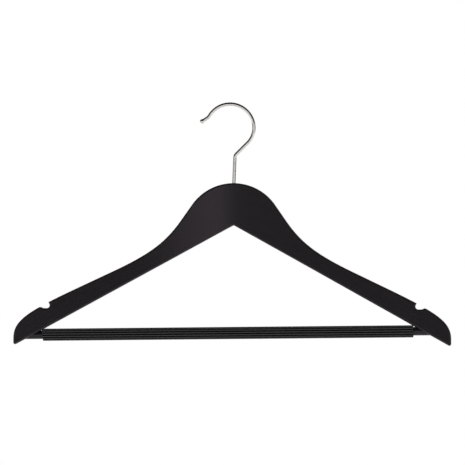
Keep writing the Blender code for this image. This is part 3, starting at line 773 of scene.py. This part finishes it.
def comb_cutter(side):
    """Half of space with square fingers, which leaves one arm of the blank."""
    owned = 0 if side == LEFT else 1
    room = BODY_THICKNESS / 2 + CUT_OVERRUN - bow(HALF_WIDTH)
    points = [(side * (HALF_WIDTH + CUT_OVERRUN), -room)]
    for finger in range(COMB_FINGERS):
        own = finger % 2 == owned
        inset = GLUE_LINE / 2 if own else -GLUE_LINE / 2
        low, high = [BODY_THICKNESS * (count / COMB_FINGERS - 1 / 2) for count in (finger, finger + 1)]
        low = low + inset if finger else -room
        high = high - inset if finger < COMB_FINGERS - 1 else room
        face = (-side if own else side) * COMB_LENGTH / 2 + side * GLUE_LINE / 2
        points += [(face, low), (face, high)]
    points.append((side * (HALF_WIDTH + CUT_OVERRUN), room))
    mesh = prism([(x, y, COMB_BOTTOM) for x, y in points], (0, 0, COMB_HEIGHT))
    mesh.transform(Matrix.Translation(SWIVEL))
    return mesh


def bore_cutter():
    """Shank bore with an eased mouth, and the counterbore for the nut."""
    mesh = turned([(COUNTERBORE_RADIUS, -HUMP_HEIGHT - CUT_OVERRUN),
                   (COUNTERBORE_RADIUS, COUNTERBORE_CEILING), (BORE_RADIUS, COUNTERBORE_CEILING),
                   (BORE_RADIUS, -BORE_EASE), (BORE_RADIUS + BORE_EASE + CUT_OVERRUN, CUT_OVERRUN)],
                  FINE_SIDES)
    mesh.transform(Matrix.Translation(SWIVEL) @ Matrix.Rotation(BORE_TURN, 4, "Z"))
    return mesh


def seat_cutter(side):
    """Blind hole for the dowel's end."""
    radius = BAR_RADIUS + GLUE_LINE
    ends = (bar_end(side) + side * SEAT_SPARE, bar_end(side) - side * SEAT_RUN_OUT)
    mesh = turned([(radius, min(ends)), (radius, max(ends))], FINE_SIDES)
    mesh.transform(BAR_PLACE)
    return mesh


def brad_cutter(side):
    """Hole round a brad, open to the back."""
    grown = [(radius * MM + GLUE_LINE, height * MM - GLUE_LINE) for radius, height in BRAD_SHAPE]
    grown[-1] = (grown[-1][0], BRAD_HOLE_TOP)
    mesh = turned(grown, BRAD_HOLE_SIDES)
    mesh.transform(brad_place(side))
    return mesh


# %% Cut the arms
def plain_mesh(work):
    """The mesh that an object's modifiers make; the object itself goes."""
    bpy.context.view_layer.update()
    made = bpy.data.meshes.new_from_object(work.evaluated_get(bpy.context.evaluated_depsgraph_get()))
    bpy.data.objects.remove(work)
    return made


def carve(mesh, cuts):
    """The mesh after a list of (cutter, operation) Booleans."""
    work = add_object("work", mesh)
    cutters = []
    for cutter, operation in cuts:
        cutters.append(add_object("cutter", stored(cutter, "cutter")))
        modifier = work.modifiers.new("cut", "BOOLEAN")
        modifier.operation, modifier.object, modifier.solver = operation, cutters[-1], "MANIFOLD"
    carved = plain_mesh(work)
    for cutter in cutters:
        bpy.data.objects.remove(cutter)
    return carved


def weigh_normals(mesh):
    """The mesh with its shading led by the large faces, and 1 in its edge attribute on rounded rims.

    The attribute comes from the depth below the face, because the normals also tilt at the joint.
    """
    mesh.shade_smooth()
    mesh.set_sharp_from_angle(angle=SHARP_EDGE)
    work = add_object("work", mesh)
    work.modifiers.new("weigh", "WEIGHTED_NORMAL").keep_sharp = True
    weighed = plain_mesh(work)
    edge = weighed.attributes.new("edge", "FLOAT", "POINT")
    for vertex in weighed.vertices:
        place = vertex.co - SWIVEL
        depth = max(BODY_THICKNESS / 2 - abs(place.y - bow(place.x)), 0)
        facing = (1 - min(depth / EDGE_ROUNDING, 1)) ** 2
        edge.data[vertex.index].value = 4 * facing * (1 - facing)
    return weighed


for side, solid, lacquer in ((LEFT, "left_arm", left_lacquer), (RIGHT, "right_arm", right_lacquer)):
    cuts = [(bore_cutter(), "DIFFERENCE"), (seat_cutter(side), "DIFFERENCE"),
            (brad_cutter(side), "DIFFERENCE"), (comb_cutter(side), "INTERSECT")]
    arm_mesh = weigh_normals(carve(blank.copy(), cuts))
    finish_piece(f"{solid}_lacquered", arm_mesh, lacquer, "hanger", [solid])

# %% [markdown]
# ## The dowel
#
# A plain turned dowel with eased ends, in the same lacquer with the grain along it. Only a short
# stretch shows between the sleeve and each arm.

# %% Dowel
DOWEL_EASE = 0.6 * MM
low, high = bar_end(LEFT), bar_end(RIGHT)
dowel = turned([(BAR_RADIUS - DOWEL_EASE, low), (BAR_RADIUS, low + DOWEL_EASE),
                (BAR_RADIUS, high - DOWEL_EASE), (BAR_RADIUS - DOWEL_EASE, high)], FINE_SIDES)
dowel.transform(BAR_PLACE)
finish_piece("bar_dowel", smooth_mesh(dowel), dowel_lacquer, "hanger",
             ["trouser_bar"])

# %% [markdown]
# ## The ribbed sleeve
#
# The sleeve is pushed over the dowel before the arms are glued on. It has round ribs along it
# with narrow flat grooves between them. The ribs repeat round the tube, so Geometry Nodes make
# them: the script models one sector, with one rib, both cut ends and its share of the bore, and
# the tree puts a copy at every turn and realises them. Welding the seams closes the tube. A
# bump texture would leave the outline of the tube smooth where it should be ribbed.

# %% One sector of the sleeve
RIB_COUNT = 15
SLEEVE_RADIUS = 6.25 * MM
RIB_HEIGHT = 1 * MM
RIB_STEPS = 18
CREST_SHARE = 0.62  # of the sector; the groove's flat floor takes the rest
SLEEVE_BORE = BAR_RADIUS + 0.08 * MM
CUT_END_ROUNDING, CUT_END_STEPS = 0.22 * MM, 3
END_ROWS = (1, 2, 3, 4, 5, 7, 10)  # millimetres from each end, where the arm presses the soft tube
END_PRESS = 1.3 * MM  # how much further than the clear length the soft ends reach
LEFT_CUT_ASKEW = 1.2 * MM  # the left end is cut a little askew, longer at the top


def sleeve_end(side):
    """Place of a sleeve end on the axis: just past where its top meets the slanted arm."""
    reach = underside_crossing(side, SLEEVE_RADIUS) + END_PRESS
    return (side * reach + SLEEVE_RADIUS * math.sin(BAR_SLANT)) / math.cos(BAR_SLANT)


def rib_radius(share, inset):
    """Radius over the rib at a share of the half sector, from crest 0 to groove 1."""
    rise = math.sqrt(1 - min(share / CREST_SHARE, 1) ** 2)
    return SLEEVE_RADIUS - RIB_HEIGHT * (1 - rise) - inset


def sleeve_sector():
    """Open strip of the tube with one rib: outside, both ends and bore."""
    start, end = sleeve_end(LEFT), sleeve_end(RIGHT)
    corner = [(CUT_END_ROUNDING * (1 - math.cos(step * math.pi / 2 / CUT_END_STEPS)),
               CUT_END_ROUNDING * (1 - math.sin(step * math.pi / 2 / CUT_END_STEPS)))
              for step in range(CUT_END_STEPS + 1)]
    rows = [(start + run, inset) for run, inset in corner]
    rows += [(start + step * MM, 0) for step in END_ROWS]
    rows += [(end - step * MM, 0) for step in END_ROWS[::-1]]
    rows += [(end - run, inset) for run, inset in corner[::-1]]
    rows += [(end, None), (start, None)]
    mesh = bmesh.new()
    crest = mesh.verts.layers.float.new("crest")
    grid = []
    for height, inset in rows:
        line = []
        for index in range(RIB_STEPS + 1):
            share = 2 * index / RIB_STEPS - 1
            angle = share * math.pi / RIB_COUNT
            radius = SLEEVE_BORE if inset is None else rib_radius(abs(share), inset)
            line.append(mesh.verts.new((radius * math.cos(angle), radius * math.sin(angle), height)))
            # crest runs from 1 on a rib's crest to 0 on the groove floor; the vinyl paints shade into the
            # grooves from it.
            line[-1][crest] = max(1 - (SLEEVE_RADIUS - radius) / RIB_HEIGHT, 0)
        grid.append(line)
    for lower, upper in zip(grid, grid[1:] + grid[:1]):
        quads_between(mesh, lower, upper, closed=False)
    return stored(mesh, "sleeve_sector")


# %% A tree that repeats the sector round the axis
def copies_tree(name, inputs, output, choose):
    """Geometry Nodes group that sets turned copies on points and gives them a finish.

    choose returns the points, the shape and the turn from the tree and its given inputs.
    """
    tree = bpy.data.node_groups.new(name, "GeometryNodeTree")
    tree.is_modifier = True
    for label, kind in inputs.items():
        tree.interface.new_socket(label, in_out="INPUT", socket_type=kind)
    tree.interface.new_socket(output, in_out="OUTPUT", socket_type="NodeSocketGeometry")
    given = add_node(tree, "NodeGroupInput").outputs
    points, shape, turn = choose(tree, given)
    rotation = add_node(tree, "FunctionNodeEulerToRotation", {0: turn})
    copies = add_node(tree, "GeometryNodeInstanceOnPoints", {
        "Points": points, "Instance": shape, "Rotation": rotation.outputs[0]})
    real = add_node(tree, "GeometryNodeRealizeInstances", {0: copies.outputs[0]})
    coloured = add_node(tree, "GeometryNodeSetMaterial", {
        "Geometry": real.outputs[0], "Material": given["Finish"]})
    add_node(tree, "NodeGroupOutput", {0: coloured.outputs[0]})
    return tree


def equal_turns(tree, given):
    """As many points as ribs, the sector, and equal turns about Z."""
    points = add_node(tree, "GeometryNodePoints", {"Count": given["Rib count"]})
    number = add_node(tree, "GeometryNodeInputIndex").outputs[0]
    share = arithmetic(tree, "DIVIDE", number, given["Rib count"])
    turn = add_node(tree, "ShaderNodeCombineXYZ", {"Z": arithmetic(tree, "MULTIPLY", share, math.tau)})
    return points.outputs[0], given["Sector"], turn.outputs[0]


def run_tree(mesh, tree, values):
    """The mesh that a Geometry Nodes tree makes, with inputs given by their names."""
    work = add_object("work", mesh)
    modifier = work.modifiers.new("nodes", "NODES")
    modifier.node_group = tree
    for socket in tree.interface.items_tree:
        if socket.in_out == "INPUT" and socket.name in values:
            modifier[socket.identifier] = values[socket.name]
    return plain_mesh(work)


# %% Weld the sleeve and set it on the dowel
PRESS_CLEARANCE = 0.1 * MM
WELD_DISTANCE = 0.01 * MM


def height_below_arm(point):
    """The point's height, lowered where the soft sleeve would cut into an arm's underside."""
    drop = HUMP_HEIGHT + abs(point.x - SWIVEL.x) * math.tan(UNDERSIDE_ANGLE)
    ceiling_height = SWIVEL.z - drop - PRESS_CLEARANCE
    return min(point.z, ceiling_height)


def open_edges(mesh):
    """How many edges don't lie between exactly two faces."""
    return sum(1 for edge in mesh.edges if not edge.is_manifold)


ribs = copies_tree("copies_round_axis", {
    "Sector": "NodeSocketGeometry", "Rib count": "NodeSocketInt", "Finish": "NodeSocketMaterial",
}, "Tube", equal_turns)
tube = run_tree(sleeve_sector(), ribs, {"Rib count": RIB_COUNT, "Finish": vinyl})
sleeve = bmesh.new()
sleeve.from_mesh(tube)
bmesh.ops.remove_doubles(sleeve, verts=sleeve.verts, dist=WELD_DISTANCE)
for vertex in sleeve.verts:
    if vertex.co.z < sleeve_end(LEFT) + MM / 2:
        vertex.co.z -= LEFT_CUT_ASKEW * (1 - vertex.co.x / SLEEVE_RADIUS) / 2
sleeve.transform(BAR_PLACE)
for vertex in sleeve.verts:
    vertex.co.z = height_below_arm(vertex.co)
bmesh.ops.recalc_face_normals(sleeve, faces=sleeve.faces)
print("open edges in the sleeve:", open_edges(sleeve))
finish_piece("bar_sleeve_ribbed", smooth_mesh(sleeve), vinyl, "hanger", ["bar_sleeve"])

# %% [markdown]
# ## The hook
#
# A hook is one length of wire: threaded at the foot, bent out and round like a question mark,
# flared at the end and headed into a small ball. Sweeping rings along the wire's middle line
# gives all of it as one surface, because a ring's radius may change along the wire for the ball
# and round the wire for the thread. The UV map is measured in metres, round and along the wire,
# so the drawn lines of the chrome follow every bend.

# %% Middle line of the wire
HOOK_RADIUS = 24.5 * MM
HOOK_CENTRE = Vector((-4.15, 56.2)) * MM
LOWER_RADIUS = 21.5 * MM  # the wire is bent tighter below the round's widest place
WIDEST_ANGLE = 5 * DEGREE
LEAD_ANGLE = 45 * DEGREE
SHANK_LEAN = 2 * DEGREE  # above the wood, the shank isn't quite upright
LEAN_RADIUS, LEAD_RADIUS = 60 * MM, 6.5 * MM  # bends where the shank leans, and where it turns out
HOOK_END_ANGLE = 149 * DEGREE
FLARE_TURN = 26 * DEGREE
FLARE_RADIUS = 8 * MM
BALL_RADIUS, BALL_REACH = 2.4 * MM, 5.9 * MM
SHANK_FOOT = -36 * MM
THREAD_TOP = -27 * MM
THREAD_PITCH = 0.7 * MM
THREAD_DEPTH = 0.26 * MM
STEPS_PER_THREAD = 8


def wire_path():
    """Points (across, height) along the wire up to the ball, the ball's centre and its heading."""
    lower_centre = HOOK_CENTRE + along(WIDEST_ANGLE, HOOK_RADIUS - LOWER_RADIUS)
    round_start = lower_centre + along(LEAD_ANGLE - math.pi / 2, LOWER_RADIUS)
    wood_top = Vector((0, 0))
    shank_corner = meeting_point(wood_top, math.pi / 2 - SHANK_LEAN, round_start, LEAD_ANGLE)
    count = round((THREAD_TOP - SHANK_FOOT) / THREAD_PITCH * STEPS_PER_THREAD)
    points = [Vector((0, SHANK_FOOT + (THREAD_TOP - SHANK_FOOT) * step / count))
              for step in range(count + 1)]
    points += [Vector((0, height)) * MM for height in (-20, -10, -4)]
    points += fillet(points[-1], wood_top, shank_corner, LEAN_RADIUS, 4, SMALL_STEP)
    points += [wood_top.lerp(shank_corner, share) for share in (0.2, 0.4, 0.6)]
    points += fillet(wood_top, shank_corner, round_start, LEAD_RADIUS, 20, SMALL_STEP)
    points += arc(lower_centre, LOWER_RADIUS, LEAD_ANGLE - math.pi / 2, WIDEST_ANGLE, 50)
    points += arc(HOOK_CENTRE, HOOK_RADIUS, WIDEST_ANGLE, HOOK_END_ANGLE, 110)[1:]
    outside = points[-1] + along(HOOK_END_ANGLE, FLARE_RADIUS)
    points += arc(outside, FLARE_RADIUS, HOOK_END_ANGLE + math.pi,
                  HOOK_END_ANGLE + math.pi - FLARE_TURN, 16)[1:]
    heading = HOOK_END_ANGLE + math.pi / 2 - FLARE_TURN
    return points, points[-1] + along(heading, BALL_REACH), heading


wire_points, ball_centre, end_heading = wire_path()
print("points along the wire:", len(wire_points))

# %% Radius along the wire
SHANK_CHAMFER = 0.5 * MM
NECK_SOFTNESS = 0.6 * MM
BALL_STEPS = 26
BALL_START = 0.06  # where the ball's rings start, as a share of the half turn over it
BALL_STRETCH = 1.02  # so that the first ring lies just before the ball
BALL_LAST_RING = BALL_RADIUS * math.cos(2 * DEGREE)


def shank_radius(height, angle):
    """Radius of the threaded foot at a height and an angle round it."""
    chamfer = max(SHANK_CHAMFER - (height - SHANK_FOOT), 0) / 2
    fade = min(max((THREAD_TOP - height) / (2 * THREAD_PITCH), 0), 1)
    phase = (height / THREAD_PITCH - angle / math.tau) % 1
    ridge = abs(2 * phase - 1)
    return WIRE_RADIUS - max(chamfer, THREAD_DEPTH * fade * ridge)


def ball_radius(distance):
    """Radius at a distance past the ball's centre, with a soft neck into the wire."""
    ball = math.sqrt(max(BALL_RADIUS ** 2 - distance ** 2, 0))
    if distance > 0:
        return ball
    overlap = max(NECK_SOFTNESS - abs(ball - WIRE_RADIUS), 0) / NECK_SOFTNESS
    return max(ball, WIRE_RADIUS) + overlap ** 2 * NECK_SOFTNESS / 4


def wire_stations():
    """Centre, heading and radius function of every ring along the wire."""
    stations = []
    for index, point in enumerate(wire_points):
        before = wire_points[max(index - 1, 0)]
        after = wire_points[min(index + 1, len(wire_points) - 1)]
        heading = math.atan2(after.y - before.y, after.x - before.x)
        if point.y < THREAD_TOP and point.x < WIRE_RADIUS:
            stations.append((point, heading, lambda angle, height=point.y: shank_radius(height, angle)))
        else:
            stations.append((point, heading, lambda angle: WIRE_RADIUS))
    for step in range(BALL_STEPS):
        half_turn = math.pi * (BALL_START + (1 - BALL_START) * step / BALL_STEPS)
        distance = min(-BALL_RADIUS * math.cos(half_turn) * BALL_STRETCH, BALL_LAST_RING)
        stations.append((ball_centre + along(end_heading, distance), end_heading,
                         lambda angle, gap=distance: ball_radius(gap)))
    return stations


# %% Sweep the wire
WIRE_SIDES = 48


def swept_wire():
    """Closed tube through the stations, with a UV map in metres."""
    mesh = bmesh.new()
    chart = mesh.loops.layers.uv.new("UVMap")
    rings, lengths = [], []
    length, last = 0, None
    for centre, heading, radius_at in wire_stations():
        length += (centre - last).length if last else 0
        last = centre
        inward = Vector((math.sin(heading), 0, -math.cos(heading)))
        ring = []
        for index in range(WIRE_SIDES):
            angle = math.tau * index / WIRE_SIDES
            offset = inward * math.cos(angle) + Vector((0, math.sin(angle), 0))
            place = SWIVEL + Vector((centre.x, 0, centre.y)) + offset * radius_at(angle)
            ring.append(mesh.verts.new(place))
        rings.append(ring)
        lengths.append(length)
    girth = math.tau * WIRE_RADIUS
    for lower, upper, start, end in zip(rings, rings[1:], lengths, lengths[1:]):
        for index, face in enumerate(quads_between(mesh, lower, upper)):
            corners = ((index, start), (index + 1, start), (index + 1, end), (index, end))
            for loop, (turn, run) in zip(face.loops, corners):
                loop[chart].uv = (girth * turn / WIRE_SIDES, run)
    mesh.faces.new(rings[0])
    mesh.faces.new(rings[-1][::-1])
    bmesh.ops.recalc_face_normals(mesh, faces=mesh.faces)
    print("open edges in the wire:", open_edges(mesh))
    print(f"wire length {lengths[-1] / MM:.0f} mm")
    return mesh


finish_piece("hook_wire", smooth_mesh(swept_wire()), chrome, "hook", ["hook"])

# %% [markdown]
# ## Washer and nut
#
# They sit in the counterbore and show only from below. The washer's rims are eased as a stamped
# one's are. The nut is a hexagon that is cut by a cone at both ends, which is what gives a real
# nut its curved chamfers: at each height the radius is the smaller of the two.

# %% Washer and nut
WASHER_TOP = COUNTERBORE_CEILING - 0.3 * MM
WASHER_RADIUS, WASHER_THICKNESS, WASHER_EASE = 4.2 * MM, 1 * MM, 0.15 * MM
WASHER_BORE, WASHER_SIDES = WIRE_RADIUS + 0.25 * MM, 72
NUT_TOP = WASHER_TOP - WASHER_THICKNESS - 0.3 * MM
NUT_HALF_FLATS, NUT_HEIGHT, NUT_FACE_RADIUS = 3.5 * MM, 3.2 * MM, 3.45 * MM
NUT_BORE = WIRE_RADIUS + 0.12 * MM
CHAMFER_ANGLE, CHAMFER_STEPS = 30 * DEGREE, 6
CRISP_EDGE = 25 * DEGREE  # the chamfers are shallow, and their rims stay crisp


def hexagon(angle):
    """Distance from the axis to the side of a hexagon."""
    sector = math.tau / 6
    return NUT_HALF_FLATS / math.cos(angle % sector - sector / 2)


def under_cone(depth):
    """Radius function of the hexagon where the cone stands this deep below its face."""
    cone = NUT_FACE_RADIUS + depth / math.tan(CHAMFER_ANGLE)
    return lambda angle: min(hexagon(angle), cone)


def nut_rings():
    """Rings of the nut, with a cone over both ends of the hexagon."""
    reach = (hexagon(0) - NUT_FACE_RADIUS) * math.tan(CHAMFER_ANGLE)
    depths = [reach * step / CHAMFER_STEPS for step in range(CHAMFER_STEPS + 1)]
    rings = [(under_cone(depth), depth - NUT_HEIGHT) for depth in depths]
    rings += [(under_cone(depth), -depth) for depth in depths[::-1]]
    return rings + [(lambda angle: NUT_BORE, height) for height in (0, -NUT_HEIGHT)]


nut = stacked_rings(nut_rings(), FINE_SIDES, True)
nut.transform(Matrix.Translation(SWIVEL + Vector((0, 0, NUT_TOP))))
inner, outer = WASHER_BORE, WASHER_RADIUS
washer = turned([(outer - WASHER_EASE, -WASHER_THICKNESS), (outer, WASHER_EASE - WASHER_THICKNESS),
                 (outer, -WASHER_EASE), (outer - WASHER_EASE, 0), (inner + WASHER_EASE, 0),
                 (inner, -WASHER_EASE), (inner, WASHER_EASE - WASHER_THICKNESS),
                 (inner + WASHER_EASE, -WASHER_THICKNESS)], WASHER_SIDES, True)
washer.transform(Matrix.Translation(SWIVEL + Vector((0, 0, WASHER_TOP))))
finish_piece("shank_nut", smooth_mesh(nut, CRISP_EDGE), zinc, "hook", ["hook_nut"])
finish_piece("shank_washer", smooth_mesh(washer, CRISP_EDGE), zinc, "hook", ["hook_washer"])

# %% [markdown]
# ## Brads
#
# A brad goes through the back of each arm into the dowel. Both are the same, so Geometry Nodes
# set a copy on two points. The heads are slightly domed, with the dimple that the press leaves.

# %% Brads on two points
BRAD_HEAD = [(0.6, -8), (0.6, -0.6), (1.1, -0.6), (1.1, -0.12), (1.02, -0.03), (0.8, 0.02), (0.55, 0.03),
             (0.35, 0), (0.2, -0.06)]  # radius and height in millimetres
BRAD_SIDES = 40


def brad_turns(tree, given):
    """The given points, the brad, and the turn that each point carries."""
    brad = add_node(tree, "GeometryNodeObjectInfo", {"Object": given["Brad"]})
    turn = add_node(tree, "GeometryNodeInputNamedAttribute", {"Name": "turn"}, data_type="FLOAT_VECTOR")
    return given["Points"], brad.outputs["Geometry"], turn.outputs["Attribute"]


places = [brad_place(side) for side in (LEFT, RIGHT)]
dots = bpy.data.meshes.new("brad_points")
dots.from_pydata([place.translation for place in places], [], [])
turns = dots.attributes.new("turn", "FLOAT_VECTOR", "POINT")
for entry, place in zip(turns.data, places):
    entry.vector = place.to_euler()
brad_mesh = turned([(radius * MM, height * MM) for radius, height in BRAD_HEAD], BRAD_SIDES)
one_brad = add_object("one_brad", smooth_mesh(brad_mesh))
pins = copies_tree("brads_on_points", {
    "Points": "NodeSocketGeometry", "Brad": "NodeSocketObject", "Finish": "NodeSocketMaterial",
}, "Brads", brad_turns)
brads = run_tree(dots, pins, {"Brad": one_brad, "Finish": zinc})
bpy.data.objects.remove(one_brad)
finish_piece("pinning_brads", brads, zinc, "hanger", ["left_brad", "right_brad"])
